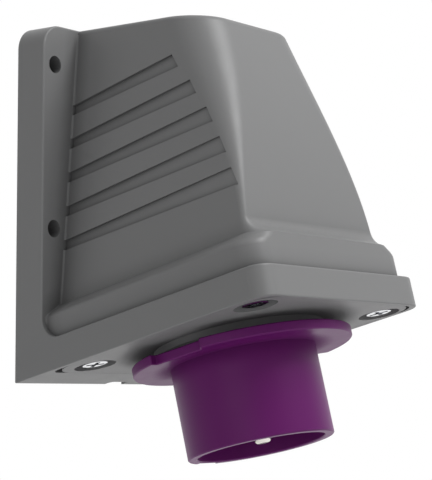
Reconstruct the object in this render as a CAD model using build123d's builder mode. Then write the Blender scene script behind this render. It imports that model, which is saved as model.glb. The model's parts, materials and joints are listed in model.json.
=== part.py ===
"""Angled wall inlet for extra-low voltage: a hood on the wall whose tilted underside carries the inlet."""
import os
from math import atan2, cos, degrees, radians, sin, tan

from build123d import *

os.makedirs("parts", exist_ok=True)

# Wall plate. X is across, -Y is away from the wall, Z is up.
# The origin is the centre of the four fixing holes on the back face.
plate_w = 92.4
plate_h = 122.6
plate_t = 11.9
plate_top_r = 8.0
fix_span_x = 80.8
fix_span_z = 56.5
fix_d = 6.0
fix_below_top = 13.7
wall = 3.0
back_pocket = 2.0
back_border = 4.0

# Tilted underside: the rim, the skirt above it and the flare from the skirt into the hood.
tilt = 14.2
rim_reach = 108.6
rim_t = 10.5
rim_corner_r = 6.0
rim_foot_edge_r = 0.5
plate_edge_r = 0.7
inner_corner_r = 6.0
skirt_inset = 2.4
skirt_foot = 9.0
skirt_corner_r = 8.5
shoulder_low = 19.0
shoulder_top = 23.0
shoulder_soft = 1.0
brow_up = 22.0
brow_sweep = 6.6
root_r = 0.9
root_margin = 0.3

# Hood: half widths and reaches from its top down to its foot.
hood_top_half_w = 28.7
hood_side_draft = 4.4
hood_front_foot_half_w = 37.8
hood_top_reach = 66.1
hood_foot_reach = 90.8
hood_foot_up = 50.0
hood_front_bulge = 2.4
hood_top_corner_r = 14.7
hood_foot_corner_r = 1.9
hood_crown_r = 1.6
hood_sections = 5
crown_sections = 4
least_bend_r = 2.0

# Slanted grooves on both sides of the hood, and how far out from the wall each one ends.
groove_front_out = (55.0, 63.6, 71.4, 77.8, 83.5)
groove_pitch = 11.78
groove_first_up = 95.8
groove_rear_h = 3.5
groove_top_rise = 17.0
groove_low_rise = 14.7
groove_fan = 0.38
groove_depth = 1.4
groove_from_plate = 0.1
groove_end_lean = 3.2

# Cover plate, its seat in the rim and its seal.
lip_front = 1.3
lip_side = 2.3
lip_rear = 14.4
seat_front_r = 7.0
seat_rear_r = 4.0
cover_gap = 0.1
cover_corner_r = 9.5
cover_sunk = 0.3
cover_t = 3.5
seal_t = 1.4
ledge_t = 3.3
ledge_w = 7.0
ledge_corner_r = 6.0
boss_d = 11.0
boss_top = 17.8
rear_boss_x = 31.5
rear_boss_out = 23.9
front_boss_x = 35.9
front_boss_out = 96.6

# Cover screws and the brass inserts that take them.
screw_pocket_d = 14.4
screw_pocket_depth = 2.0
screw_head_d = 8.6
screw_head_h = 1.9
screw_head_round = 0.5
screw_shank_d = 4.0
screw_length = 14.0
screw_hole_d = 4.6
cross_w = 1.3
cross_l = 5.2
cross_depth = 1.1
insert_d = 5.8
insert_l = 8.0
insert_sunk = 0.6
thread_clear = 0.1
bore_past_insert = 3.0

# Drain notch in the foot of the wall plate.
drain_w = 9.0
drain_depth = 3.0
drain_x = 4.6
drain_r = 2.0

# Inlet: coloured flange and shroud on the tilted axis.
axis_from_wall = 62.2
flange_r = 37.8
flange_notch_x = 33.3
notch_rear = 10.5
notch_front = 8.0
notch_slant = 0.75
flange_rise = 3.75
flange_t = 3.3
flange_edge = 0.35
shroud_d = 50.0
shroud_wall = 3.2
shroud_end = 38.0
shroud_lip_edge = 0.4
key_w = 10.5
key_depth = 2.3
neck_d = 54.0
neck_top = 12.0
neck_gap = 0.3
collar_d = 59.0
joint_seal_t = 1.5
joint_seal_d = 58.6
lock_ring_d = 68.0
lock_ring_t = 6.0
lock_notch_w = 7.0
lock_notch_depth = 2.5
lock_notch_count = 6

# Contact carrier, pins and terminals.
carrier_clear = 0.2
carrier_face = 4.0
carrier_flange_t = 3.0
pin_circle_r = 10.0
pin_d = 6.0
pin_shank_d = 6.6
pin_end = 35.4
pin_tip_r = 1.4
pin_collar_d = 9.4
barrel_d = 8.4
barrel_l = 12.0
wire_bore_d = 4.4
wire_bore_depth = 10.0
clamp_d = 3.4
clamp_head_gap = 0.3
clamp_head_d = 4.4
clamp_head_h = 1.4
clamp_below_end = 4.5
retainer_d = 37.0
retainer_t = 2.0
retainer_screw_r = 14.0
small_screw_d = 2.9
small_screw_head_d = 5.4
small_screw_head_h = 1.8
small_screw_length = 7.5
slot_w = 0.8
slot_depth = 0.7

# Rubber cable entry in the back wall.
entry_d = 20.4
entry_up = 66.0
entry_clear = 0.2
entry_flange_d = 27.0
entry_flange_t = 1.6
entry_lip_d = 24.0
entry_lip_t = 1.5
entry_cup_d = 15.0
entry_skin_t = 1.2

# How far a cut runs past the face that it opens.
past = 1.0

# Places worked out from the sizes above.
plate_top_z = fix_span_z / 2 + fix_below_top
plate_low_z = plate_top_z - plate_h
cover_top = cover_sunk + cover_t
seat_floor = cover_top + seal_t
ledge_top = seat_floor + ledge_t
skirt_half_w = plate_w / 2 - skirt_inset
skirt_reach = rim_reach - skirt_inset
seat_half_w = plate_w / 2 - lip_side
seat_l = rim_reach - lip_front - lip_rear
seat_mid = lip_rear + seat_l / 2
shroud_bore_d = shroud_d - 2 * shroud_wall
collar_face = flange_rise - joint_seal_t
carrier_flange_top = neck_top + carrier_flange_t
pocket_floor = cover_sunk + screw_pocket_depth
insert_foot = seat_floor + insert_sunk
carrier_screw_r = (neck_d + shroud_bore_d) / 4
back_wall_y = back_pocket + wall
fix_places = [(x, z) for x in (-fix_span_x / 2, fix_span_x / 2) for z in (-fix_span_z / 2, fix_span_z / 2)]
boss_places = [
    (-rear_boss_x, -rear_boss_out),
    (rear_boss_x, -rear_boss_out),
    (-front_boss_x, -front_boss_out),
    (front_boss_x, -front_boss_out),
]
pin_angles = (30, 150, 270)
pin_places = [(pin_circle_r * cos(radians(a)), pin_circle_r * sin(radians(a))) for a in pin_angles]

# The tilted plane under the hood: local x is X, local -y runs out from the wall, local z goes up inside.
underside = Plane(
    origin=(0, 0, plate_low_z),
    x_dir=(1, 0, 0),
    z_dir=(0, sin(radians(tilt)), cos(radians(tilt))),
)
# The same plane centred on the inlet's axis.
inlet_base = Plane(
    origin=underside.from_local_coords((0, -axis_from_wall, 0)),
    x_dir=(1, 0, 0),
    z_dir=underside.z_dir,
)


def fall(z):
    """How far down the hood the height z lies: 0 at its top, 1 at its foot."""
    return (plate_top_z - z) / (plate_h - hood_foot_up)


def half_width(z):
    """Half width of the hood where it leaves the plate."""
    return hood_top_half_w + (plate_top_z - z) * tan(radians(hood_side_draft))


def front_half_width(z):
    """Half width of the hood at its front, which widens faster towards the foot."""
    return hood_top_half_w + (hood_front_foot_half_w - hood_top_half_w) * fall(z)


def reach(z):
    u = fall(z)
    straight = hood_top_reach + (hood_foot_reach - hood_top_reach) * u
    return straight + 4 * hood_front_bulge * u * (1 - u)


def corner_radius(z):
    """Front corner radius: wide at the top, closing smoothly to a tight one at the foot."""
    u = min(max(fall(z), 0), 1)
    return hood_foot_corner_r + (hood_top_corner_r - hood_foot_corner_r) * (1 - u) ** 2 * (1 + 2 * u)


def shoulder(up):
    """Share of the skirt's width in the sides: straight slope with a softened lower bend."""
    past_bend = up - shoulder_low
    if past_bend < -shoulder_soft:
        drop = 0
    elif past_bend < shoulder_soft:
        drop = (past_bend + shoulder_soft) ** 2 / (4 * shoulder_soft)
    else:
        drop = past_bend
    return max(1 - drop / (shoulder_top - shoulder_low), 0)


def brow(up):
    """Share of the skirt's reach in the front: a ridge, then a hollow sweep up into the hood."""
    if up <= brow_up:
        return 1
    return max(1 - (up - brow_up) / brow_sweep, 0) ** 2


def front_point(plane, in_by):
    """Distance out from the wall, along a section plane, at which it meets the hood's front."""
    out = hood_foot_reach
    for _ in range(12):
        place = plane.from_local_coords((0, -out, 0))
        out += reach(place.Z) - in_by + place.Y
    return out


def section_plane(up, lean):
    """Plane that leaves the wall at the height up above the plate's foot and rises outwards by lean."""
    return Plane(
        origin=(0, 0, plate_low_z + up),
        x_dir=(1, 0, 0),
        z_dir=(0, sin(radians(lean)), cos(radians(lean))),
    )


def hood_outline(plane, side_share, front_share, in_by):
    """Sizes of one hood section, moved in by in_by; the shares are the skirt's part in sides and front."""
    front = front_point(plane, in_by)
    z_front = plane.from_local_coords((0, -front, 0)).Z
    rear_half = (1 - side_share) * half_width(plane.origin.Z) + side_share * skirt_half_w - in_by
    front_half = (1 - side_share) * front_half_width(z_front) + side_share * skirt_half_w - in_by
    bend = (1 - front_share) * corner_radius(z_front) + front_share * skirt_corner_r - in_by
    skirt_front = skirt_reach + underside.to_local_coords(plane.origin).Y - in_by
    front = (1 - front_share) * front + front_share * skirt_front
    return rear_half, front_half, front, max(bend, least_bend_r)


# Sections as plane, shares and inset, one list a loft. The flare's follow the tilted underside and
# break where its outline has an edge; the hood's fan out to its level top; the crown's round it off.
flare_breaks = (
    skirt_foot,
    shoulder_low - shoulder_soft,
    shoulder_low + shoulder_soft,
    brow_up,
    shoulder_top,
    brow_up + brow_sweep,
)
flare_steps = (1, 4, 1, 2, 4)
flare_lists = []
for low, high, steps in zip(flare_breaks, flare_breaks[1:], flare_steps):
    flare_lists.append([])
    for n in range(steps + 1):
        up = low + (high - low) * n / steps
        flare_lists[-1].append((section_plane(up / cos(radians(tilt)), tilt), shoulder(up), brow(up), 0))
hood_start = flare_breaks[-1] / cos(radians(tilt))
hood_end = plate_h - hood_crown_r
hood_list = []
for n in range(hood_sections + 1):
    way = n / hood_sections
    hood_list.append((section_plane(hood_start + (hood_end - hood_start) * way, tilt * (1 - way)), 0, 0, 0))
crown_list = []
for n in range(crown_sections + 1):
    turn = radians(90 * n / crown_sections)
    crown_at = section_plane(hood_end + hood_crown_r * sin(turn), 0)
    crown_list.append((crown_at, 0, 0, hood_crown_r * (1 - cos(turn))))

# Hollow of the hood: the wiring chamber, drawn first as the core that the housing is cut with.
chamber_list = []
for n in range(hood_sections + 1):
    way = n / hood_sections
    up = hood_start + (plate_h - wall - hood_start) * way
    chamber_list.append((section_plane(up, tilt * (1 - way)), 0, 0, 0))

with BuildPart() as chamber:
    with BuildSketch(underside.offset(ledge_top)) as chamber_foot:
        with Locations((0, -(skirt_reach - wall) / 2)):
            Rectangle(2 * (skirt_half_w - wall), skirt_reach - wall)
        fillet(chamber_foot.vertices().group_by(Axis.Y)[0], skirt_corner_r - wall)
    extrude(amount=flare_breaks[1] - ledge_top)
    for sections in (*flare_lists[1:], chamber_list):
        for section_at, *shares, in_by in sections:
            rear_half, front_half, front, bend = hood_outline(section_at, *shares, in_by + wall)
            with BuildSketch(section_at) as chamber_section:
                with BuildLine():
                    Polyline(
                        (-rear_half, 0),
                        (-front_half, -front),
                        (front_half, -front),
                        (rear_half, 0),
                        close=True,
                    )
                make_face()
                fillet(chamber_section.vertices().group_by(Axis.Y)[0], bend)
        loft()
    # The back wall closes it.
    with BuildSketch(Plane.XZ.offset(back_wall_y)):
        Rectangle(3 * plate_w, 3 * plate_h)
    extrude(amount=-plate_h, mode=Mode.SUBTRACT)

with BuildPart() as housing:
    # Wall plate and rim: an L seen from the side, with its inner corner rounded.
    with BuildSketch(Plane.YZ) as side_frame:
        with BuildLine():
            rim_nose = underside.from_local_coords((0, -rim_reach, 0))
            rim_brow = underside.from_local_coords((0, -rim_reach, rim_t))
            inner_z = plate_low_z + rim_t / cos(radians(tilt)) + plate_t * tan(radians(tilt))
            Polyline(
                (0, plate_low_z),
                (rim_nose.Y, rim_nose.Z),
                (rim_brow.Y, rim_brow.Z),
                (-plate_t, inner_z),
                (-plate_t, plate_top_z),
                (0, plate_top_z),
                close=True,
            )
        make_face()
        fillet(side_frame.vertices().sort_by_distance((-plate_t, inner_z))[0], inner_corner_r)
    extrude(amount=plate_w / 2, both=True)
    fillet(housing.edges().filter_by(Axis.Y).group_by(Axis.Z)[-1], plate_top_r)
    nose = housing.faces().sort_by_distance((0, (rim_nose.Y + rim_brow.Y) / 2, rim_nose.Z + rim_t / 2))[0]
    fillet(nose.edges().filter_by(Axis.X, reverse=True), rim_corner_r)
    # Broken edges: round the front of the plate and the top of the rim, and round the rim's foot.
    rim_middle = underside.from_local_coords((0, -rim_reach / 2, rim_t))
    bend_middle = (0, -plate_t - inner_corner_r / 3, inner_z + inner_corner_r / 3)
    shown = ShapeList()
    for place in ((0, -plate_t, 0), bend_middle, rim_middle):
        shown += housing.faces().sort_by_distance(place)[0].edges()
    across = shown.filter_by(Axis.X)
    fillet(
        shown.filter_by(Axis.X, reverse=True) + [across.sort_by(Axis.Z)[-1], across.sort_by(Axis.Y)[0]],
        plate_edge_r,
    )
    foot = housing.faces().sort_by_distance(underside.from_local_coords((0, -rim_reach / 2, 0)))[0].edges()
    fillet(
        foot.filter_by(Axis.X, reverse=True) + [foot.filter_by(Axis.X).sort_by(Axis.Y)[0]],
        rim_foot_edge_r,
    )

    # Skirt and flare, and hood: lofts of D-shaped sections, rounded where they meet the plate.
    for sections in (*flare_lists, hood_list):
        for section_at, *shares, in_by in sections:
            rear_half, front_half, front, bend = hood_outline(section_at, *shares, in_by)
            root_out = plate_t / section_at.z_dir.Z
            root_half = rear_half + (front_half - rear_half) * root_out / front
            root_wide = min(root_half + root_r, plate_w / 2 - root_margin) + root_margin / 2
            with BuildSketch(section_at) as hood_section:
                with BuildLine():
                    Polyline(
                        (-root_wide, 0),
                        (-root_wide, -root_out),
                        (-root_half, -root_out),
                        (-front_half, -front),
                        (front_half, -front),
                        (root_half, -root_out),
                        (root_wide, -root_out),
                        (root_wide, 0),
                        close=True,
                    )
                make_face()
                fillet(hood_section.vertices().group_by(Axis.Y)[0], bend)
                for side in (-1, 1):
                    root_corner = hood_section.vertices().sort_by_distance((side * root_half, -root_out))[0]
                    fillet(root_corner, root_wide - root_half - root_margin)
        loft()

    # The crown rounds the top over and dies into the plate's broken edge.
    for section_at, *shares, in_by in crown_list:
        rear_half, front_half, front, bend = hood_outline(section_at, *shares, in_by)
        with BuildSketch(section_at) as crown_section:
            with BuildLine():
                Polyline(
                    (-rear_half, 0),
                    (-front_half, -front),
                    (front_half, -front),
                    (rear_half, 0),
                    close=True,
                )
            make_face()
            fillet(crown_section.vertices().group_by(Axis.Y)[0], bend)
    loft()

    # Nothing stands behind the wall face.
    with BuildSketch(Plane.XZ):
        Rectangle(3 * plate_w, 3 * plate_h)
    extrude(amount=-plate_h, mode=Mode.SUBTRACT)

    # Hollow, the seat of the cover and the ledge round its opening.
    add(chamber.part, mode=Mode.SUBTRACT)
    with BuildSketch(underside) as seat_outline:
        with Locations((0, -seat_mid)):
            Rectangle(2 * seat_half_w, seat_l)
        fillet(seat_outline.vertices().group_by(Axis.Y)[0], seat_front_r)
        fillet(seat_outline.vertices().group_by(Axis.Y)[-1], seat_rear_r)
    extrude(amount=seat_floor, mode=Mode.SUBTRACT)
    with BuildSketch(underside.offset(seat_floor)):
        with Locations((0, -seat_mid)):
            RectangleRounded(2 * (seat_half_w - ledge_w), seat_l - 2 * ledge_w, ledge_corner_r)
    extrude(amount=ledge_t + past, mode=Mode.SUBTRACT)

    # Screw bosses with their stepped bores.
    with BuildSketch(underside.offset(seat_floor)):
        with Locations(*boss_places):
            Circle(boss_d / 2)
    extrude(amount=boss_top - seat_floor)
    with BuildSketch(underside.offset(seat_floor)):
        with Locations(*boss_places):
            Circle(insert_d / 2)
    extrude(amount=insert_sunk + insert_l, mode=Mode.SUBTRACT)
    with BuildSketch(underside.offset(insert_foot + insert_l)):
        with Locations(*boss_places):
            Circle(screw_hole_d / 2)
    extrude(amount=bore_past_insert, mode=Mode.SUBTRACT)

    # Shallow pocket behind the plate, with pads left round the fixing holes, and the drain notch.
    with BuildSketch(Plane.XZ):
        with Locations((0, (plate_top_z + plate_low_z) / 2)):
            RectangleRounded(plate_w - 2 * back_border, plate_h - 2 * back_border, plate_top_r - back_border)
        with Locations(*fix_places):
            Circle(fix_d, mode=Mode.SUBTRACT)
    extrude(amount=back_pocket, mode=Mode.SUBTRACT)
    with BuildSketch(Plane.XZ):
        with Locations(*fix_places):
            Circle(fix_d / 2)
    extrude(amount=plate_t, mode=Mode.SUBTRACT)
    with BuildSketch(Plane.XY.offset(plate_low_z)) as drain:
        with Locations((drain_x, 0)):
            Rectangle(drain_w, 2 * drain_depth)
        fillet(drain.vertices().group_by(Axis.Y)[0].sort_by(Axis.X)[0], drain_r)
    extrude(amount=back_border + past, mode=Mode.SUBTRACT)
    with BuildSketch(Plane.XZ):
        with Locations((0, plate_low_z + entry_up)):
            Circle(entry_d / 2)
    extrude(amount=back_wall_y + past, mode=Mode.SUBTRACT)

    # Slanted grooves down both sides, each cut to one depth along the side's own slant.
    draft = tan(radians(hood_side_draft))
    for side in (-1, 1):
        for n, front_out in enumerate(groove_front_out):
            rear_z = plate_low_z + groove_first_up - n * groove_pitch
            widening = (front_half_width(rear_z) - half_width(rear_z)) / reach(rear_z)
            floor_x = side * (half_width(rear_z) - groove_depth)
            side_wall = Plane(
                origin=(floor_x, 0, rear_z),
                x_dir=(-widening, side, 0),
                z_dir=(side, widening, draft),
            )
            rear_out = plate_t + groove_from_plate
            low_out = front_out + groove_end_lean
            top_slope = tan(radians(groove_top_rise - groove_fan * n))
            low_slope = tan(radians(groove_low_rise - groove_fan * n))
            with BuildSketch(side_wall):
                with BuildLine():
                    Polyline(
                        (-side * rear_out, 0),
                        (-side * front_out, (front_out - rear_out) * top_slope),
                        (-side * low_out, (low_out - rear_out) * low_slope - groove_rear_h),
                        (-side * rear_out, -groove_rear_h),
                        close=True,
                    )
                make_face()
            extrude(amount=groove_depth + 3 * past, mode=Mode.SUBTRACT)

housing.part.label = "housing"
export_step(housing.part, "parts/housing.step")

with BuildPart() as cover_plate:
    with BuildSketch(underside.offset(cover_sunk)):
        with Locations((0, -seat_mid)):
            RectangleRounded(2 * (seat_half_w - cover_gap), seat_l - 2 * cover_gap, cover_corner_r)
    extrude(amount=cover_t)
    # Raised collar that the coloured flange is sealed against, and the way through it for the neck.
    with BuildSketch(inlet_base.offset(cover_sunk)):
        Circle(collar_d / 2)
    extrude(amount=-(cover_sunk + collar_face))
    with BuildSketch(inlet_base.offset(-collar_face)):
        Circle(neck_d / 2 + neck_gap)
    extrude(amount=collar_face + cover_top, mode=Mode.SUBTRACT)
    with BuildSketch(underside.offset(cover_sunk)):
        with Locations(*boss_places):
            Circle(screw_pocket_d / 2)
    extrude(amount=screw_pocket_depth, mode=Mode.SUBTRACT)
    with BuildSketch(underside.offset(cover_sunk)):
        with Locations(*boss_places):
            Circle(screw_hole_d / 2)
    extrude(amount=cover_t, mode=Mode.SUBTRACT)

cover_plate.part.label = "cover_plate"
export_step(cover_plate.part, "parts/cover_plate.step")

with BuildPart() as cover_seal:
    with BuildSketch(underside.offset(cover_top)):
        with Locations((0, -seat_mid)):
            RectangleRounded(2 * (seat_half_w - cover_gap), seat_l - 2 * cover_gap, cover_corner_r)
            RectangleRounded(
                2 * (seat_half_w - ledge_w),
                seat_l - 2 * ledge_w,
                ledge_corner_r,
                mode=Mode.SUBTRACT,
            )
        with Locations(*boss_places):
            Circle(screw_hole_d / 2, mode=Mode.SUBTRACT)
    extrude(amount=seal_t)

cover_seal.part.label = "cover_seal"
export_step(cover_seal.part, "parts/cover_seal.step")

with BuildPart() as joint_seal:
    with BuildSketch(inlet_base.offset(-collar_face)):
        Circle(joint_seal_d / 2)
        Circle(neck_d / 2 + neck_gap, mode=Mode.SUBTRACT)
    extrude(amount=-joint_seal_t)

joint_seal.part.label = "joint_seal"
export_step(joint_seal.part, "parts/joint_seal.step")

with BuildPart() as inlet_body:
    # Flange: a disc with a notch in each side.
    with BuildSketch(inlet_base.offset(-flange_rise)):
        Circle(flange_r)
        notch_out = flange_r + past
        notch_end = -notch_front - (notch_out - flange_notch_x) * notch_slant
        with BuildLine():
            Polyline(
                (flange_notch_x, notch_rear),
                (notch_out, notch_rear),
                (notch_out, notch_end),
                (flange_notch_x, -notch_front),
                close=True,
            )
        notch = make_face(mode=Mode.SUBTRACT)
        mirror(notch, about=Plane.YZ, mode=Mode.SUBTRACT)
    extrude(amount=-flange_t)
    chamfer(inlet_body.edges(), flange_edge)
    # Shroud outside, neck inside, one bore through both.
    with BuildSketch(inlet_base.offset(-flange_rise - flange_t)):
        Circle(shroud_d / 2)
    extrude(amount=-(shroud_end - flange_rise - flange_t))
    with BuildSketch(inlet_base.offset(-flange_rise)):
        Circle(neck_d / 2)
    extrude(amount=flange_rise + neck_top)
    with BuildSketch(inlet_base.offset(-shroud_end)):
        Circle(shroud_bore_d / 2)
    extrude(amount=shroud_end + neck_top, mode=Mode.SUBTRACT)
    rings = inlet_body.edges().filter_by(GeomType.CIRCLE)
    mouth_at = inlet_base.from_local_coords((0, 0, -shroud_end))
    chamfer(rings.filter_by(lambda e: (e.arc_center - mouth_at).length < 0.1), shroud_lip_edge)
    # Key groove down the wall side of the shroud.
    with BuildSketch(inlet_base.offset(-shroud_end)):
        with Locations((0, shroud_d / 2)):
            Rectangle(key_w, 2 * key_depth)
    extrude(amount=shroud_end - flange_rise - flange_t, mode=Mode.SUBTRACT)
    # Holes in the end of the neck for the carrier's screws.
    with BuildSketch(inlet_base.offset(neck_top)):
        with PolarLocations(carrier_screw_r, 3, start_angle=90):
            Circle((small_screw_d + thread_clear) / 2)
    extrude(amount=-small_screw_length, mode=Mode.SUBTRACT)

inlet_body.part.label = "inlet_body"
export_step(inlet_body.part, "parts/inlet_body.step")

with BuildPart() as lock_ring:
    with BuildSketch(inlet_base.offset(cover_top)):
        Circle(lock_ring_d / 2)
        Circle((neck_d + thread_clear) / 2, mode=Mode.SUBTRACT)
        with PolarLocations(lock_ring_d / 2, lock_notch_count, start_angle=30):
            Rectangle(2 * lock_notch_depth, lock_notch_w, mode=Mode.SUBTRACT)
    extrude(amount=lock_ring_t)

lock_ring.part.label = "lock_ring"
export_step(lock_ring.part, "parts/lock_ring.step")

with BuildPart() as contact_carrier:
    with BuildSketch(inlet_base.offset(-carrier_face)):
        Circle(shroud_bore_d / 2 - carrier_clear)
    extrude(amount=carrier_face + neck_top)
    with BuildSketch(inlet_base.offset(neck_top)):
        Circle(neck_d / 2)
    extrude(amount=carrier_flange_t)
    with BuildSketch(inlet_base.offset(-carrier_face)):
        with Locations(*pin_places):
            Circle(pin_shank_d / 2 + thread_clear)
    extrude(amount=carrier_face + carrier_flange_top, mode=Mode.SUBTRACT)
    with BuildSketch(inlet_base.offset(neck_top)):
        with Locations(*pin_places):
            Circle(pin_collar_d / 2 + carrier_clear)
        with PolarLocations(carrier_screw_r, 3, start_angle=90):
            Circle(small_screw_d / 2 + carrier_clear)
    extrude(amount=carrier_flange_t, mode=Mode.SUBTRACT)
    with BuildSketch(inlet_base.offset(carrier_flange_top)):
        with PolarLocations(retainer_screw_r, 3, start_angle=90):
            Circle((small_screw_d + thread_clear) / 2)
    extrude(amount=-small_screw_length, mode=Mode.SUBTRACT)

contact_carrier.part.label = "contact_carrier"
export_step(contact_carrier.part, "parts/contact_carrier.step")

with BuildPart() as pin_retainer:
    with BuildSketch(inlet_base.offset(carrier_flange_top)):
        Circle(retainer_d / 2)
        with Locations(*pin_places):
            Circle(barrel_d / 2 + carrier_clear, mode=Mode.SUBTRACT)
        with PolarLocations(retainer_screw_r, 3, start_angle=90):
            Circle(small_screw_d / 2 + carrier_clear, mode=Mode.SUBTRACT)
    extrude(amount=retainer_t)

pin_retainer.part.label = "pin_retainer"
export_step(pin_retainer.part, "parts/pin_retainer.step")

barrel_end = carrier_flange_top + barrel_l
clamp_height = barrel_end - clamp_below_end
clamp_seat = barrel_d / 2 + clamp_head_gap
for number, (pin_x, pin_y) in enumerate(pin_places, start=1):
    away = degrees(atan2(pin_y, pin_x))
    pin_base = Plane(
        origin=inlet_base.from_local_coords((pin_x, pin_y, 0)),
        x_dir=inlet_base.x_dir.rotate(Axis(inlet_base.origin, inlet_base.z_dir), away),
        z_dir=inlet_base.z_dir,
    )
    clamp_axis = Plane(
        origin=pin_base.from_local_coords((0, 0, clamp_height)),
        x_dir=pin_base.z_dir,
        z_dir=pin_base.x_dir,
    )
    with BuildPart() as contact_pin:
        with BuildSketch(pin_base.offset(-pin_end)):
            Circle(pin_d / 2)
        extrude(amount=pin_end - carrier_face)
        fillet(contact_pin.faces().sort_by(Axis(pin_base.origin, pin_base.z_dir))[0].edges(), pin_tip_r)
        with BuildSketch(pin_base.offset(-carrier_face)):
            Circle(pin_shank_d / 2)
        extrude(amount=carrier_face + neck_top)
        with BuildSketch(pin_base.offset(neck_top)):
            Circle(pin_collar_d / 2)
        extrude(amount=carrier_flange_t)
        with BuildSketch(pin_base.offset(carrier_flange_top)):
            Circle(barrel_d / 2)
        extrude(amount=barrel_l)
        with BuildSketch(pin_base.offset(barrel_end)):
            Circle(wire_bore_d / 2)
        extrude(amount=-wire_bore_depth, mode=Mode.SUBTRACT)
        with BuildSketch(clamp_axis):
            Circle((clamp_d + thread_clear) / 2)
        extrude(amount=barrel_d, mode=Mode.SUBTRACT)
    contact_pin.part.label = f"contact_pin_{number}"
    export_step(contact_pin.part, f"parts/contact_pin_{number}.step")

    with BuildPart() as clamp_screw:
        with BuildSketch(clamp_axis.offset(wire_bore_d / 2)):
            Circle(clamp_d / 2)
        extrude(amount=clamp_seat - wire_bore_d / 2)
        with BuildSketch(clamp_axis.offset(clamp_seat)):
            Circle(clamp_head_d / 2)
        extrude(amount=clamp_head_h)
        with BuildSketch(clamp_axis.offset(clamp_seat + clamp_head_h)):
            Rectangle(clamp_head_d + past, slot_w)
        extrude(amount=-slot_depth, mode=Mode.SUBTRACT)
    clamp_screw.part.label = f"clamp_screw_{number}"
    export_step(clamp_screw.part, f"parts/clamp_screw_{number}.step")

# Two rings of small screws: one holds the carrier to the neck, one the retainer to the carrier.
small_screw_rings = (
    ("carrier_screws", carrier_screw_r, carrier_flange_top),
    ("retainer_screws", retainer_screw_r, carrier_flange_top + retainer_t),
)
for ring_name, ring_r, seat_height in small_screw_rings:
    with BuildPart() as small_screws:
        with BuildSketch(inlet_base.offset(seat_height)):
            with PolarLocations(ring_r, 3, start_angle=90):
                Circle(small_screw_head_d / 2)
        extrude(amount=small_screw_head_h)
        with BuildSketch(inlet_base.offset(seat_height)):
            with PolarLocations(ring_r, 3, start_angle=90):
                Circle(small_screw_d / 2)
        extrude(amount=-small_screw_length)
        with BuildSketch(inlet_base.offset(seat_height + small_screw_head_h)):
            with PolarLocations(ring_r, 3, start_angle=90):
                Rectangle(small_screw_head_d + past, slot_w)
        extrude(amount=-slot_depth, mode=Mode.SUBTRACT)
    small_screws.part.label = ring_name
    export_step(small_screws.part, f"parts/{ring_name}.step")

for number, place in enumerate(boss_places, start=1):
    with BuildPart() as cover_screw:
        with BuildSketch(underside.offset(pocket_floor)):
            with Locations(place):
                Circle(screw_head_d / 2)
        extrude(amount=-screw_head_h)
        head_face = cover_screw.faces().sort_by(Axis(underside.origin, underside.z_dir))[0]
        fillet(head_face.edges(), screw_head_round)
        with BuildSketch(underside.offset(pocket_floor - screw_head_h)):
            with Locations(place):
                Rectangle(cross_l, cross_w)
                Rectangle(cross_w, cross_l)
        extrude(amount=cross_depth, mode=Mode.SUBTRACT)
        with BuildSketch(underside.offset(pocket_floor)):
            with Locations(place):
                Circle(screw_shank_d / 2)
        extrude(amount=screw_length)
    cover_screw.part.label = f"cover_screw_{number}"
    export_step(cover_screw.part, f"parts/cover_screw_{number}.step")

    with BuildPart() as screw_insert:
        with BuildSketch(underside.offset(insert_foot)):
            with Locations(place):
                Circle(insert_d / 2)
                Circle((screw_shank_d + thread_clear) / 2, mode=Mode.SUBTRACT)
        extrude(amount=insert_l)
    screw_insert.part.label = f"screw_insert_{number}"
    export_step(screw_insert.part, f"parts/screw_insert_{number}.step")

# Rubber entry: a cup with a thin skin, buttoned into the hole in the back wall.
entry_base = Plane(origin=(0, 0, plate_low_z + entry_up), x_dir=(1, 0, 0), z_dir=(0, -1, 0))
with BuildPart() as cable_entry:
    with BuildSketch(entry_base.offset(back_pocket - entry_flange_t)):
        Circle(entry_flange_d / 2)
    extrude(amount=entry_flange_t)
    with BuildSketch(entry_base.offset(back_pocket)):
        Circle(entry_d / 2 - entry_clear)
    extrude(amount=wall)
    with BuildSketch(entry_base.offset(back_wall_y)):
        Circle(entry_lip_d / 2)
    extrude(amount=entry_lip_t)
    with BuildSketch(entry_base):
        Circle(entry_cup_d / 2)
    extrude(amount=back_wall_y + entry_lip_t - entry_skin_t, mode=Mode.SUBTRACT)

cable_entry.part.label = "cable_entry"
export_step(cable_entry.part, "parts/cable_entry.step")
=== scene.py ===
import json
from math import cos, degrees, pi, radians, sin

import bmesh
import bpy
from mathutils import Matrix, Vector


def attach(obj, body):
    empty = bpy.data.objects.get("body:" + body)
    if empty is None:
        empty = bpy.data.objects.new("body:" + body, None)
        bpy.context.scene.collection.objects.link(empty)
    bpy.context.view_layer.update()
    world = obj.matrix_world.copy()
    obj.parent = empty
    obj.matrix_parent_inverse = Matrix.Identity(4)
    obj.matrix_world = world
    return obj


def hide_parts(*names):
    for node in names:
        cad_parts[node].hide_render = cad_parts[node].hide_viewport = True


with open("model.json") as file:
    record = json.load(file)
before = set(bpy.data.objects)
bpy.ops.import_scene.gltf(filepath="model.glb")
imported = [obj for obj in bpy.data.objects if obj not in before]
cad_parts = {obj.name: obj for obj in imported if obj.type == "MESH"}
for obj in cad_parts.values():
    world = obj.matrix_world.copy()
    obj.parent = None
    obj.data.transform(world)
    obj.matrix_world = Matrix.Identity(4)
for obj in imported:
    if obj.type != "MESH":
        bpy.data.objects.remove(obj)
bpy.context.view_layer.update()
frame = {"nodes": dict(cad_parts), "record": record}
nodes = frame["nodes"]
mm = 0.001


def say(text):
    print("inlet scene:", text)


# the tilted underside: where its plane meets the wall, in millimetres, and its slope in degrees
underside = {"startZ": -80.65, "tilt": 14.2}
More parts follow.
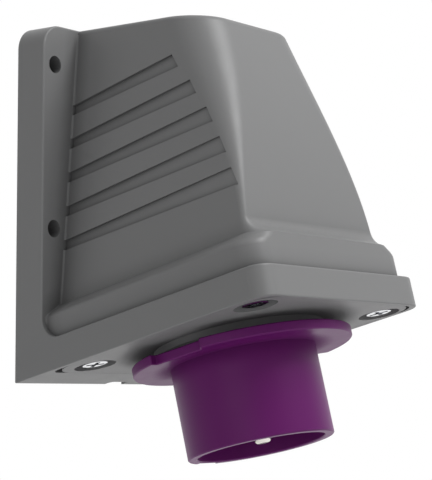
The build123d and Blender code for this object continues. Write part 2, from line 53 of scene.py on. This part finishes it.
# view from below and to the left, in millimetres of the part's own frame; the lens is in millimetres too
cameraView = {"place": (-491.1, -427.8, -85.45), "lookAt": (3.0, -48.1, -31.05), "lens": 135.27,
              "nearest": 50.0, "farthest": 20000.0}


def makeCamera(v):
    lens = bpy.data.cameras.new("inletCamera")
    lens.lens = v["lens"]
    lens.clip_start = v["nearest"] * mm
    lens.clip_end = v["farthest"] * mm
    camera = bpy.data.objects.new("inletCamera", lens)
    bpy.context.scene.collection.objects.link(camera)
    place = Vector(v["place"]) * mm
    camera.location = place
    camera.rotation_mode = "QUATERNION"
    camera.rotation_quaternion = (Vector(v["lookAt"]) * mm - place).to_track_quat("-Z", "Y")
    bpy.context.scene.camera = camera


# lamps: power in watts, size and place in metres; all lamps look at the studio's aimAt
studioLamps = {
    "keyLamp": {"power": 14.5, "size": 0.7, "place": (0.34, -0.96, 1.12)},
    "fillLamp": {"power": 1.8, "size": 1.0, "place": (-1.3, -0.4, 0.0)},
}
studio = {
    "aimAt": (0.0, -0.05, -0.03),
    "worldLight": 0.22,
    "worldSeen": 1.0,
    "floorHeight": -0.19,
    "floorHalf": 0.9,
    "floorColour": (0.86, 0.86, 0.86, 1),
    "floorLift": 0.5,
}


def seenDirectly(tree):
    # 1 where the camera, a gloss or a clear piece looks, 0 where light only bounces
    path = tree.nodes.new("ShaderNodeLightPath")
    share = path.outputs["Is Camera Ray"]
    for ray in ("Is Glossy Ray", "Is Transmission Ray"):
        both = tree.nodes.new("ShaderNodeMath")
        both.operation = "MAXIMUM"
        tree.links.new(share, both.inputs[0])
        tree.links.new(path.outputs[ray], both.inputs[1])
        share = both.outputs[0]
    return share


def makeStudio(v, lamps):
    for name, lamp in lamps.items():
        data = bpy.data.lights.new(name, "AREA")
        data.energy = lamp["power"]
        data.size = lamp["size"]
        obj = bpy.data.objects.new(name, data)
        bpy.context.scene.collection.objects.link(obj)
        obj.location = lamp["place"]
        aim = Vector(v["aimAt"]) - Vector(lamp["place"])
        obj.rotation_mode = "QUATERNION"
        obj.rotation_quaternion = aim.to_track_quat("-Z", "Y")

    # soft even light for the part, and plain white behind it and in its gloss
    world = bpy.data.worlds.new("studioWorld")
    bpy.context.scene.world = world
    world.use_nodes = True
    tree = world.node_tree
    tree.nodes.clear()
    strength = tree.nodes.new("ShaderNodeMapRange")
    strength.inputs["To Min"].default_value = v["worldLight"]
    strength.inputs["To Max"].default_value = v["worldSeen"]
    tree.links.new(seenDirectly(tree), strength.inputs["Value"])
    background = tree.nodes.new("ShaderNodeBackground")
    background.inputs["Color"].default_value = (1, 1, 1, 1)
    tree.links.new(strength.outputs[0], background.inputs["Strength"])
    out = tree.nodes.new("ShaderNodeOutputWorld")
    tree.links.new(background.outputs[0], out.inputs["Surface"])

    # pale floor, lifted towards white where the camera or a gloss sees it
    half, low = v["floorHalf"], v["floorHeight"]
    corners = [(-half, -half, low), (half, -half, low), (half, half, low), (-half, half, low)]
    mesh = bpy.data.meshes.new("studioFloor")
    mesh.from_pydata(corners, [], [(0, 1, 2, 3)])
    floor = bpy.data.objects.new("studioFloor", mesh)
    bpy.context.scene.collection.objects.link(floor)
    mat = bpy.data.materials.new("paleFloor")
    mat.use_nodes = True
    tree = mat.node_tree
    tree.nodes.clear()
    matt = tree.nodes.new("ShaderNodeBsdfDiffuse")
    matt.inputs["Color"].default_value = v["floorColour"]
    lift = tree.nodes.new("ShaderNodeMath")
    lift.operation = "MULTIPLY"
    lift.inputs[1].default_value = v["floorLift"]
    tree.links.new(seenDirectly(tree), lift.inputs[0])
    glow = tree.nodes.new("ShaderNodeEmission")
    tree.links.new(lift.outputs[0], glow.inputs["Strength"])
    both = tree.nodes.new("ShaderNodeAddShader")
    tree.links.new(matt.outputs[0], both.inputs[0])
    tree.links.new(glow.outputs[0], both.inputs[1])
    out = tree.nodes.new("ShaderNodeOutputMaterial")
    tree.links.new(both.outputs[0], out.inputs["Surface"])
    mesh.materials.append(mat)


bpy.context.scene.view_settings.view_transform = "Standard"
makeCamera(cameraView)
makeStudio(studio, studioLamps)
say("camera and studio ready")


def newGroup(name, kind, inputs, outputs):
    # inputs and outputs: the sockets' names, each with its kind
    group = bpy.data.node_groups.new(name, kind)
    for sockets, way in ((inputs, "INPUT"), (outputs, "OUTPUT")):
        for title, what in sockets.items():
            group.interface.new_socket(name=title, in_out=way, socket_type="NodeSocket" + what)
    return group, group.nodes.new("NodeGroupInput").outputs, group.nodes.new("NodeGroupOutput").inputs


def feed(tree, socket, value):
    if isinstance(value, (int, float, tuple)):
        socket.default_value = value
    else:
        tree.links.new(value, socket)


def addMath(tree, kind, *values):
    node = tree.nodes.new("ShaderNodeMath")
    node.operation = kind
    for socket, value in zip(node.inputs, values):
        feed(tree, socket, value)
    return node.outputs[0]


noiseRoughness = 0.6


def addNoise(tree, where, scale, detail):
    node = tree.nodes.new("ShaderNodeTexNoise")
    node.inputs["Detail"].default_value = detail
    node.inputs["Roughness"].default_value = noiseRoughness
    feed(tree, node.inputs["Vector"], where)
    feed(tree, node.inputs["Scale"], scale)
    return node.outputs["Fac"]


# skin of a moulding: fine eroded pits, slow flow marks, gloss that is not quite even, and a mask for painted
# shade in inner corners;
# scales are waves per metre, the reach of that painted shade is in metres
skinMarks = {"pitDetail": 3.0, "flowScale": 22.0, "flowDetail": 2.0, "smearScale": 150.0, "smearDetail": 4.0,
             "flowShare": 0.7, "paintedShadeReach": 0.007, "paintedShadeSamples": 8, "paintedShadePower": 1.8,
             "cornerDulling": 0.5}


def makeMouldSkin(v):
    inputs = {"pitScale": "Float", "gloss": "Float", "glossSwing": "Float"}
    outputs = {"height": "Float", "roughness": "Float", "tone": "Float", "open": "Float"}
    group, given, made = newGroup("mouldSkin", "ShaderNodeTree", inputs, outputs)
    where = group.nodes.new("ShaderNodeTexCoord").outputs["Object"]
    pits = addNoise(group, where, given["pitScale"], v["pitDetail"])
    flow = addNoise(group, where, v["flowScale"], v["flowDetail"])
    smear = addNoise(group, where, v["smearScale"], v["smearDetail"])
    group.links.new(pits, made["height"])
    # painted shade: an ambient-occlusion reading, passed out as open, darkens the colour in inner corners and
    # recesses; the skin is also made rougher there
    corners = group.nodes.new("ShaderNodeAmbientOcclusion")
    corners.samples = v["paintedShadeSamples"]
    corners.inputs["Distance"].default_value = v["paintedShadeReach"]
    paintedShadeMask = addMath(group, "POWER", corners.outputs["AO"], v["paintedShadePower"])
    group.links.new(paintedShadeMask, made["open"])
    dull = addMath(group, "MULTIPLY", addMath(group, "SUBTRACT", 1.0, paintedShadeMask), v["cornerDulling"])
    swing = addMath(group, "MULTIPLY", addMath(group, "SUBTRACT", smear, 0.5), given["glossSwing"])
    gloss = addMath(group, "ADD", given["gloss"], swing)
    group.links.new(addMath(group, "ADD", gloss, dull), made["roughness"])
    slow = addMath(group, "MULTIPLY", flow, v["flowShare"])
    quick = addMath(group, "MULTIPLY", smear, 1 - v["flowShare"])
    group.links.new(addMath(group, "ADD", slow, quick), made["tone"])
    return group


# fine rings of the turning tool, square to an axis that lean brings to the vertical
turnedMarks = {"wander": 1.2, "tarnishScale": 320.0, "tarnishDetail": 5.0}


def makeTurnedRings(v):
    inputs = {"lean": "Vector", "ringScale": "Float"}
    outputs = {"height": "Float", "tarnish": "Float"}
    group, given, made = newGroup("turnedRings", "ShaderNodeTree", inputs, outputs)
    where = group.nodes.new("ShaderNodeTexCoord").outputs["Object"]
    turn = group.nodes.new("ShaderNodeMapping")
    group.links.new(where, turn.inputs["Vector"])
    group.links.new(given["lean"], turn.inputs["Rotation"])
    rings = group.nodes.new("ShaderNodeTexWave")
    rings.bands_direction = "Z"
    rings.inputs["Distortion"].default_value = v["wander"]
    group.links.new(turn.outputs["Vector"], rings.inputs["Vector"])
    group.links.new(given["ringScale"], rings.inputs["Scale"])
    group.links.new(rings.outputs["Fac"], made["height"])
    group.links.new(addNoise(group, where, v["tarnishScale"], v["tarnishDetail"]), made["tarnish"])
    return group


# crossed ridges rolled into the outside of the brass inserts, each lot this many degrees off the axis
knurlTurn = 45


def makeKnurl(slant):
    inputs, outputs = {"ridgeScale": "Float"}, {"height": "Float"}
    group, given, made = newGroup("rolledKnurl", "ShaderNodeTree", inputs, outputs)
    where = group.nodes.new("ShaderNodeTexCoord").outputs["Object"]
    ridges = []
    for turn in (slant, -slant):
        place = group.nodes.new("ShaderNodeMapping")
        place.inputs["Rotation"].default_value = (0, radians(turn), 0)
        group.links.new(where, place.inputs["Vector"])
        wave = group.nodes.new("ShaderNodeTexWave")
        wave.bands_direction = "X"
        group.links.new(place.outputs["Vector"], wave.inputs["Vector"])
        group.links.new(given["ridgeScale"], wave.inputs["Scale"])
        ridges.append(wave.outputs["Fac"])
    group.links.new(addMath(group, "MINIMUM", *ridges), made["height"])
    return group


mouldSkin = makeMouldSkin(skinMarks)
turnedRings = makeTurnedRings(turnedMarks)
rolledKnurl = makeKnurl(knurlTurn)


def startMaterial(name):
    mat = bpy.data.materials.new(name)
    mat.use_nodes = True
    tree = mat.node_tree
    return mat, tree, tree.nodes["Principled BSDF"]


def placeGroup(tree, group, **values):
    node = tree.nodes.new("ShaderNodeGroup")
    node.node_tree = group
    for name, value in values.items():
        node.inputs[name].default_value = value
    return node


def addBump(tree, shader, height, strength, depth):
    bump = tree.nodes.new("ShaderNodeBump")
    bump.inputs["Strength"].default_value = strength
    bump.inputs["Distance"].default_value = depth
    tree.links.new(height, bump.inputs["Height"])
    tree.links.new(bump.outputs["Normal"], shader.inputs["Normal"])


def mixColours(tree, share, first, second):
    mix = tree.nodes.new("ShaderNodeMix")
    mix.data_type = "RGBA"
    colours = [s for s in mix.inputs if s.type == "RGBA"]
    tree.links.new(share, mix.inputs[0])
    for socket, colour in zip(colours, (first, second)):
        if isinstance(colour, (tuple, list)):
            socket.default_value = (*colour, 1)
        else:
            tree.links.new(colour, socket)
    return [s for s in mix.outputs if s.type == "RGBA"][0]


def shaded(colour, share):
    return [c * share for c in colour]


def makeMoulding(name, v):
    mat, tree, shader = startMaterial(name)
    skin = placeGroup(tree, mouldSkin, pitScale=v["pitScale"], gloss=v["gloss"], glossSwing=v["glossSwing"])
    darker, lighter = shaded(v["colour"], 1 - v["toneSwing"]), shaded(v["colour"], 1 + v["toneSwing"])
    toned = mixColours(tree, skin.outputs["tone"], darker, lighter)
    # painted shade: where the open mask is low, the colour falls to the given share of itself
    withPaintedShade = mixColours(tree, skin.outputs["open"], shaded(v["colour"], v["paintedShadeShare"]), toned)
    tree.links.new(withPaintedShade, shader.inputs["Base Color"])
    tree.links.new(skin.outputs["roughness"], shader.inputs["Roughness"])
    addBump(tree, shader, skin.outputs["height"], v["pitStrength"], v["pitDepth"])
    shader.inputs["Specular IOR Level"].default_value = v["shine"]
    return mat


def makeTurnedMetal(name, v):
    mat, tree, shader = startMaterial(name)
    rings = placeGroup(tree, turnedRings, lean=(radians(v["lean"]), 0, 0), ringScale=v["ringScale"])
    colour = mixColours(tree, rings.outputs["tarnish"], v["colour"], v["tarnished"])
    tree.links.new(colour, shader.inputs["Base Color"])
    swing = addMath(tree, "MULTIPLY", rings.outputs["tarnish"], v["dulling"])
    tree.links.new(addMath(tree, "ADD", swing, v["gloss"]), shader.inputs["Roughness"])
    addBump(tree, shader, rings.outputs["height"], v["ringStrength"], v["ringDepth"])
    shader.inputs["Metallic"].default_value = 1.0
    return mat


def makeKnurledBrass(name, v):
    mat, tree, shader = startMaterial(name)
    knurl = placeGroup(tree, rolledKnurl, ridgeScale=v["ridgeScale"])
    colour = mixColours(tree, knurl.outputs["height"], v["tarnished"], v["colour"])
    tree.links.new(colour, shader.inputs["Base Color"])
    shader.inputs["Roughness"].default_value = v["gloss"]
    shader.inputs["Metallic"].default_value = 1.0
    addBump(tree, shader, knurl.outputs["height"], v["ridgeStrength"], v["ridgeDepth"])
    return mat


# colours are plain linear values, depths in metres; the share of painted shade is the part of the colour left
# in an inner corner, where painted shade darkens it
mouldings = {
    "greyHousing": {"slot": "grey_housing", "colour": (0.228, 0.229, 0.231), "toneSwing": 0.03,
                    "paintedShadeShare": 0.45, "gloss": 0.46, "glossSwing": 0.1, "shine": 0.5,
                    "pitScale": 2600.0, "pitStrength": 0.12, "pitDepth": 0.00004},
    "greyCover": {"slot": "grey_cover", "colour": (0.228, 0.229, 0.231), "toneSwing": 0.03,
                  "paintedShadeShare": 1.0, "gloss": 0.5, "glossSwing": 0.1, "shine": 0.62,
                  "pitScale": 3000.0, "pitStrength": 0.08, "pitDepth": 0.00003},
    "purpleShroud": {"slot": "purple_shroud", "colour": (0.143, 0.009, 0.141), "toneSwing": 0.04,
                     "paintedShadeShare": 0.75, "gloss": 0.4, "glossSwing": 0.1, "shine": 0.19,
                     "pitScale": 3000.0, "pitStrength": 0.08, "pitDepth": 0.00003},
    "purpleCarrier": {"slot": "purple_carrier", "colour": (0.14, 0.012, 0.14), "toneSwing": 0.05,
                      "paintedShadeShare": 0.5, "gloss": 0.5, "glossSwing": 0.1, "shine": 0.24,
                      "pitScale": 2200.0, "pitStrength": 0.15, "pitDepth": 0.00004},
    "greyNylon": {"slot": "grey_nut", "colour": (0.19, 0.19, 0.185), "toneSwing": 0.05,
                  "paintedShadeShare": 0.6, "gloss": 0.5, "glossSwing": 0.1, "shine": 0.4,
                  "pitScale": 1800.0, "pitStrength": 0.2, "pitDepth": 0.00004},
    "sealRubber": {"slot": "seal_rubber", "colour": (0.16, 0.162, 0.16), "toneSwing": 0.2,
                   "paintedShadeShare": 1.0, "gloss": 0.75, "glossSwing": 0.15, "shine": 0.24,
                   "pitScale": 1500.0, "pitStrength": 0.3, "pitDepth": 0.00005},
    "entryRubber": {"slot": "entry_rubber", "colour": (0.045, 0.045, 0.047), "toneSwing": 0.15,
                    "paintedShadeShare": 0.6, "gloss": 0.65, "glossSwing": 0.15, "shine": 0.35,
                    "pitScale": 1500.0, "pitStrength": 0.3, "pitDepth": 0.00005},
}
turnedMetals = {
    "nickelContact": {"slot": "contact_metal", "colour": (0.80, 0.77, 0.73), "tarnished": (0.62, 0.58, 0.53),
                      "lean": -underside["tilt"], "ringScale": 900.0, "ringStrength": 0.15,
                      "ringDepth": 0.00002, "gloss": 0.12, "dulling": 0.2},
    "zincScrew": {"slot": "zinc_screw", "colour": (0.82, 0.83, 0.85), "tarnished": (0.66, 0.67, 0.70),
                  "lean": -underside["tilt"], "ringScale": 700.0, "ringStrength": 0.05,
                  "ringDepth": 0.00001, "gloss": 0.08, "dulling": 0.12},
}
insertBrass = {"slot": "brass_insert", "colour": (0.72, 0.52, 0.25), "tarnished": (0.35, 0.23, 0.09),
               "ridgeScale": 500.0, "ridgeStrength": 0.6, "ridgeDepth": 0.0001, "gloss": 0.3}

finishes = {}
for name, values in mouldings.items():
    finishes[values["slot"]] = makeMoulding(name, values)
for name, values in turnedMetals.items():
    finishes[values["slot"]] = makeTurnedMetal(name, values)
finishes[insertBrass["slot"]] = makeKnurledBrass("knurledBrass", insertBrass)

for part in frame["record"]["subparts"]:
    for materialSlot in nodes[part["node"]].material_slots:
        materialSlot.material = finishes[part["material_slot"]]
say("finishes on the moulded and turned parts")

# metres; closer points are one point in a copied node, and beside a cut
copyMerge, cutMerge = 1e-6, 1e-7


def undersideWays(v):
    tilt = radians(v["tilt"])
    start = Vector((0, 0, v["startZ"] * mm))
    return start, Vector((0, -cos(tilt), sin(tilt))), Vector((0, sin(tilt), cos(tilt)))


def alongUnderside(point, ways):
    start, outwards, up = ways
    return point.x / mm, (point - start).dot(outwards) / mm, (point - start).dot(up) / mm


# millimetres; the rim's front corners go from firstRadius to radius, below top only,
# and what lies within kept of the larger arc's centre stays as it is
rimCorner = {"halfWidth": 46.2, "reach": 108.6, "top": 10.55, "firstRadius": 6.0, "radius": 9.6,
             "squareness": 3.0, "kept": 8.5, "slices": 5, "probe": 0.01,
             "flattest": 1e-12}


def roundedPlace(across, out, v):
    side = abs(across) - (v["halfWidth"] - v["radius"])
    front = out - (v["reach"] - v["radius"])
    away = (side * side + front * front) ** 0.5
    if side <= 0 or front <= 0 or away <= v["kept"]:
        return across, out
    toSide, toFront = side / away, front / away
    turn = v["radius"] - v["firstRadius"]
    if v["radius"] * toFront <= turn * toSide:
        edge = v["radius"] / toSide
    elif v["radius"] * toSide <= turn * toFront:
        edge = v["radius"] / toFront
    else:
        middle = turn * (toSide + toFront)
        edge = middle + (middle * middle - 2 * turn * turn + v["firstRadius"] ** 2) ** 0.5
    power = v["squareness"]
    target = v["radius"] / (toSide ** power + toFront ** power) ** (1 / power)
    moved = (v["kept"] + (away - v["kept"]) * (target - v["kept"]) / (edge - v["kept"])) / away
    newAcross = (v["halfWidth"] - v["radius"] + side * moved) * (1 if across > 0 else -1)
    return newAcross, v["reach"] - v["radius"] + front * moved


def roundedNormal(across, out, facing, v):
    # the facing is carried by the same bend as the skin, read from four places close by
    step = v["probe"]
    east, west = roundedPlace(across + step, out, v), roundedPlace(across - step, out, v)
    north, south = roundedPlace(across, out + step, v), roundedPlace(across, out - step, v)
    bend = Matrix(((east[0] - west[0], north[0] - south[0], 0),
                   (east[1] - west[1], north[1] - south[1], 0), (0, 0, 2 * step)))
    if abs(bend.determinant()) < v["flattest"]:
        return facing
    return (bend.inverted().transposed() @ facing).normalized()


def copyOfNode(name, title):
    mesh = nodes[name].data.copy()
    mesh.name = title
    obj = bpy.data.objects.new(title, mesh)
    bpy.context.scene.collection.objects.link(obj)
    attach(obj, "root")
    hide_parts(name)
    return obj


def startSkin(mesh):
    # the copy's stored facings go, and its loose triangles become one skin
    mesh.attributes.remove(mesh.attributes["custom_normal"])
    skin = bmesh.new()
    skin.from_mesh(mesh)
    bmesh.ops.remove_doubles(skin, verts=skin.verts, dist=copyMerge)
    return skin


def endSkin(skin, mesh):
    for face in skin.faces:
        face.smooth = True
    skin.to_mesh(mesh)
    skin.free()


def cutRim(skin, v, ways):
    # slices through the corners, so that the bend has points to move
    start, outwards = ways[:2]
    turn = v["radius"] - v["firstRadius"]
    for number in range(v["slices"]):
        inset = v["radius"] - turn * number / v["slices"]
        cuts = [(outwards, start + outwards * (v["reach"] - inset) * mm)]
        for way in (1, -1):
            cuts.append((Vector((way, 0, 0)), Vector((way * (v["halfWidth"] - inset) * mm, 0, 0))))
        for facing, place in cuts:
            low = [f for f in skin.faces if min(alongUnderside(c.co, ways)[2] for c in f.verts) < v["top"]]
            around = {e for f in low for e in f.edges} | {c for f in low for c in f.verts}
            bmesh.ops.bisect_plane(skin, geom=list(around) + low, dist=cutMerge,
                                   plane_co=place, plane_no=facing)


def makeHousingShell(v, plane):
    shell = copyOfNode("housing", "housingShell")
    mesh = shell.data
    ways = undersideWays(plane)
    start, outwards, up = ways
    kept = mesh.attributes.new("facing", "FLOAT_VECTOR", "CORNER")
    for item, normal in zip(kept.data, mesh.corner_normals):
        item.vector = normal.vector
    skin = startSkin(mesh)
    cutRim(skin, v, ways)
    layer = skin.loops.layers.float_vector["facing"]
    for point in skin.verts:
        across, out, height = alongUnderside(point.co, ways)
        place = roundedPlace(across, out, v)
        if height > v["top"] or place == (across, out):
            continue
        for corner in point.link_loops:
            given = corner[layer]
            local = Vector((given.x, given.dot(outwards), given.dot(up)))
            turned = roundedNormal(across, out, local, v)
            corner[layer] = Vector((turned.x, 0, 0)) + outwards * turned.y + up * turned.z
        point.co = start + Vector((place[0] * mm, 0, 0)) + outwards * place[1] * mm + up * height * mm
    endSkin(skin, mesh)
    facings = [Vector(item.vector).normalized() for item in mesh.attributes["facing"].data]
    mesh.attributes.remove(mesh.attributes["facing"])
    mesh.normals_split_custom_set(facings)


# millimetres and degrees: the lid's foot comes flush with the rim, and its outer edge is rounded
# where it is clear of the screw pockets, the inlet and the wall
lidEdge = {"sunk": 0.3, "footBand": 0.02, "round": 1.5, "roundSteps": 4, "rearEdge": 15.2, "flat": 0.2,
           "sharp": 32.0, "steep": 57.3, "pocketPlaces": ((31.5, 23.9), (35.9, 96.6)), "pocketClear": 7.4,
           "inletOut": 62.2, "inletClear": 32.0}


def roundedEdges(skin, foot, v, ways):
    centres = [(way * x, out, v["pocketClear"]) for x, out in v["pocketPlaces"] for way in (1, -1)]
    centres.append((0, v["inletOut"], v["inletClear"]))
    chosen = []
    for edge in skin.edges:
        across, out = alongUnderside((edge.verts[0].co + edge.verts[1].co) / 2, ways)[:2]
        clear = all(((across - x) ** 2 + (out - y) ** 2) ** 0.5 > reach for x, y, reach in centres)
        atFoot = edge.verts[0] in foot and edge.verts[1] in foot
        if clear and atFoot and out > v["rearEdge"] and bendOf(edge) > v["steep"]:
            chosen.append(edge)
    return chosen


def bendOf(edge):
    # degrees between the two faces beside an edge
    return degrees(edge.calc_face_angle()) if len(edge.link_faces) == 2 else 0.0


def makeLid(v, plane):
    lid = copyOfNode("cover_plate", "coverLid")
    ways = undersideWays(plane)
    skin = startSkin(lid.data)
    bmesh.ops.dissolve_limit(skin, angle_limit=radians(v["flat"]), verts=skin.verts, edges=skin.edges)
    foot = {c for c in skin.verts if abs(alongUnderside(c.co, ways)[2] - v["sunk"]) < v["footBand"]}
    for point in foot:
        point.co -= ways[2] * v["sunk"] * mm
    weight = skin.edges.layers.float.new("bevel_weight_edge")
    for edge in skin.edges:
        edge.smooth = bendOf(edge) <= v["sharp"]
    for edge in roundedEdges(skin, foot, v, ways):
        edge[weight] = 1
    endSkin(skin, lid.data)
    edges = lid.modifiers.new("roundedEdge", "BEVEL")
    edges.limit_method = "WEIGHT"
    edges.width = v["round"] * mm
    edges.segments = v["roundSteps"]
    edges.harden_normals = True


makeHousingShell(rimCorner, underside)
makeLid(lidEdge, underside)
say("housing corners and lid edge rounded")

# sizes in millimetres; threadShare is the part of the length that is threaded
coverScrew = {"headWidth": 8.6, "headHeight": 1.95, "headRound": 0.08, "crossLength": 6.6, "crossWidth": 1.5,
              "crossDepth": 1.2, "shankWidth": 3.4, "threadWidth": 4.0, "threadPitch": 0.7, "length": 14.0,
              "threadShare": 0.9, "threadStart": 1.05, "tilt": underside["tilt"], "spinSeed": 4,
              "seatedHeight": 1.9, "endBand": 0.5, "headFacets": 48, "headRings": 8, "shankFacets": 24,
              "threadFacets": 24, "toothCorners": 3}
screwSizes = ("headWidth", "headHeight", "headRound", "crossLength", "crossWidth", "crossDepth",
              "shankWidth", "threadWidth", "threadPitch", "length", "threadStart")


def addNode(tree, kind, links=None, values=None, **options):
    node = tree.nodes.new(kind)
    for name, value in options.items():
        setattr(node, name, value)
    for name, value in (values or {}).items():
        node.inputs[name].default_value = value
    for name, source in (links or {}).items():
        tree.links.new(source, node.inputs[name])
    return node


def moveUp(tree, piece, height):
    place = addNode(tree, "ShaderNodeCombineXYZ", {"Z": height})
    moved = addNode(tree, "GeometryNodeTransform", {"Geometry": piece, "Translation": place.outputs[0]})
    return moved.outputs[0]


# head: a disc drawn out along its own axis, its outer edge rolled over
def addScrewHead(tree, given, v):
    halfWidth = addMath(tree, "MULTIPLY", given["headWidth"], 0.5)
    top = addMath(tree, "MULTIPLY", given["headHeight"], -1.0)
    disc = addNode(tree, "GeometryNodeMeshCylinder", {"Radius": halfWidth, "Depth": given["headHeight"]},
                   {"Vertices": v["headFacets"], "Side Segments": 1, "Fill Segments": v["headRings"]})
    position = addNode(tree, "GeometryNodeInputPosition").outputs[0]
    parts = addNode(tree, "ShaderNodeSeparateXYZ", {"Vector": position}).outputs
    squares = [addMath(tree, "MULTIPLY", parts[axis], parts[axis]) for axis in (0, 1)]
    away = addMath(tree, "SQRT", addMath(tree, "ADD", *squares))
    fromEdge = addMath(tree, "SUBTRACT", halfWidth, away)
    inRound = addMath(tree, "MAXIMUM", addMath(tree, "SUBTRACT", given["headRound"], fromEdge), 0.0)
    rise = addMath(tree, "DIVIDE", addMath(tree, "MULTIPLY", inRound, inRound), given["headRound"])
    onTop = addMath(tree, "LESS_THAN", parts[2], 0.0)
    lift = addNode(tree, "ShaderNodeCombineXYZ", {"Z": addMath(tree, "MULTIPLY", rise, onTop)})
    head = addNode(tree, "GeometryNodeSetPosition",
                   {"Geometry": disc.outputs["Mesh"], "Offset": lift.outputs[0]})
    head = moveUp(tree, head.outputs[0], addMath(tree, "MULTIPLY", top, 0.5))

    # cross recess: two bars taken out of the head, one after the other
    deep = addMath(tree, "MULTIPLY", given["crossDepth"], 2.0)
    for along, across in (("crossLength", "crossWidth"), ("crossWidth", "crossLength")):
        size = addNode(tree, "ShaderNodeCombineXYZ", {"X": given[along], "Y": given[across], "Z": deep})
        bar = addNode(tree, "GeometryNodeMeshCube", {"Size": size.outputs[0]})
        bar = moveUp(tree, bar.outputs["Mesh"], top)
        head = addNode(tree, "GeometryNodeMeshBoolean", {"Mesh 1": head, "Mesh 2": bar},
                       operation="DIFFERENCE").outputs[0]
    return head


# shank with its thread wound round it
def addScrewShank(tree, given, v):
    halfShank = addMath(tree, "MULTIPLY", given["shankWidth"], 0.5)
    ridge = addMath(tree, "SUBTRACT", addMath(tree, "MULTIPLY", given["threadWidth"], 0.5), halfShank)
    core = addNode(tree, "GeometryNodeMeshCylinder", {"Radius": halfShank, "Depth": given["length"]},
                   {"Vertices": v["shankFacets"]})
    core = moveUp(tree, core.outputs["Mesh"], addMath(tree, "MULTIPLY", given["length"], 0.5))
    threaded = addMath(tree, "MULTIPLY", given["length"], v["threadShare"])
    turns = addMath(tree, "DIVIDE", threaded, given["threadPitch"])
    coil = {"Rotations": turns, "Start Radius": halfShank, "End Radius": halfShank, "Height": threaded}
    coil = addNode(tree, "GeometryNodeCurveSpiral", coil, {"Resolution": v["threadFacets"]})
    tooth = addNode(tree, "GeometryNodeCurvePrimitiveCircle", {"Radius": ridge},
                    {"Resolution": v["toothCorners"]})
    thread = addNode(tree, "GeometryNodeCurveToMesh",
                     {"Curve": coil.outputs[0], "Profile Curve": tooth.outputs[0]}, {"Fill Caps": True})
    return core, moveUp(tree, thread.outputs[0], given["threadStart"])


def makeScrewTree(v):
    inputs = {"seats": "Geometry"}
    inputs.update({name: "Float" for name in screwSizes})
    inputs.update({"tilt": "Float", "spinSeed": "Int", "finish": "Material"})
    tree, given, made = newGroup("crossScrews", "GeometryNodeTree", inputs, {"screws": "Geometry"})
    screw = addNode(tree, "GeometryNodeJoinGeometry")
    for piece in (addScrewHead(tree, given, v), *addScrewShank(tree, given, v)):
        tree.links.new(piece, screw.inputs[0])

    # one at each seat, tilted with the cover and turned by chance about its own axis, up to a quarter turn
    lean = addNode(tree, "ShaderNodeCombineXYZ", {"X": addMath(tree, "MULTIPLY", given["tilt"], -1.0)})
    placed = {"Points": given["seats"], "Instance": screw.outputs[0], "Rotation": lean.outputs[0]}
    placed = addNode(tree, "GeometryNodeInstanceOnPoints", placed)
    spin = addNode(tree, "FunctionNodeRandomValue", {"Seed": given["spinSeed"]}, data_type="FLOAT")
    spin.inputs[3].default_value = pi / 2  # the most, of a plain number
    spinTurn = addNode(tree, "ShaderNodeCombineXYZ", {"Z": spin.outputs[1]})
    placed = addNode(tree, "GeometryNodeRotateInstances",
                     {"Instances": placed.outputs[0], "Rotation": spinTurn.outputs[0]})
    real = addNode(tree, "GeometryNodeRealizeInstances", {"Geometry": placed.outputs[0]})
    flat = addNode(tree, "GeometryNodeSetShadeSmooth", {"Geometry": real.outputs[0]}, {"Shade Smooth": False})
    coated = addNode(tree, "GeometryNodeSetMaterial",
                     {"Geometry": flat.outputs[0], "Material": given["finish"]})
    tree.links.new(coated.outputs[0], made["screws"])
    return tree


def setInputs(modifier, values):
    for item in modifier.node_group.interface.items_tree:
        if item.in_out == "INPUT" and item.name in values:
            modifier[item.identifier] = values[item.name]


def screwSeats(v, names):
    # each seat lies seatedHeight from the head's outer end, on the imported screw's own axis
    tilt = radians(v["tilt"])
    axis = Vector((0, sin(tilt), cos(tilt)))
    seats = []
    for name in names:
        points = [p.co for p in nodes[name].data.vertices]
        along = [p.dot(axis) for p in points]
        near = [p for p, d in zip(points, along) if d > max(along) - v["endBand"] * mm]
        end = sum(near, Vector()) / len(near)
        seats.append(end - axis * (max(along) - min(along) - v["seatedHeight"] * mm))
    return seats


def makeCoverScrews(v):
    names = [f"cover_screw_{number}" for number in (1, 2, 3, 4)]
    mesh = bpy.data.meshes.new("coverScrewSeats")
    mesh.from_pydata([tuple(p) for p in screwSeats(v, names)], [], [])
    holder = bpy.data.objects.new("coverScrewSeats", mesh)
    bpy.context.scene.collection.objects.link(holder)
    cutting = holder.modifiers.new("crossScrews", "NODES")
    cutting.node_group = makeScrewTree(v)
    values = {name: v[name] * mm for name in screwSizes}
    values.update({"tilt": radians(v["tilt"]), "spinSeed": v["spinSeed"], "finish": finishes["zinc_screw"]})
    setInputs(cutting, values)
    bpy.context.view_layer.update()
    shaped = bpy.data.meshes.new_from_object(holder.evaluated_get(bpy.context.evaluated_depsgraph_get()))
    shaped.name = "coverScrews"
    bpy.data.objects.remove(holder)
    screws = bpy.data.objects.new("coverScrews", shaped)
    bpy.context.scene.collection.objects.link(screws)
    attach(screws, "root")
    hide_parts(*names)


makeCoverScrews(coverScrew)
say("cover screws cut and seated")

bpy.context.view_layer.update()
say("done")
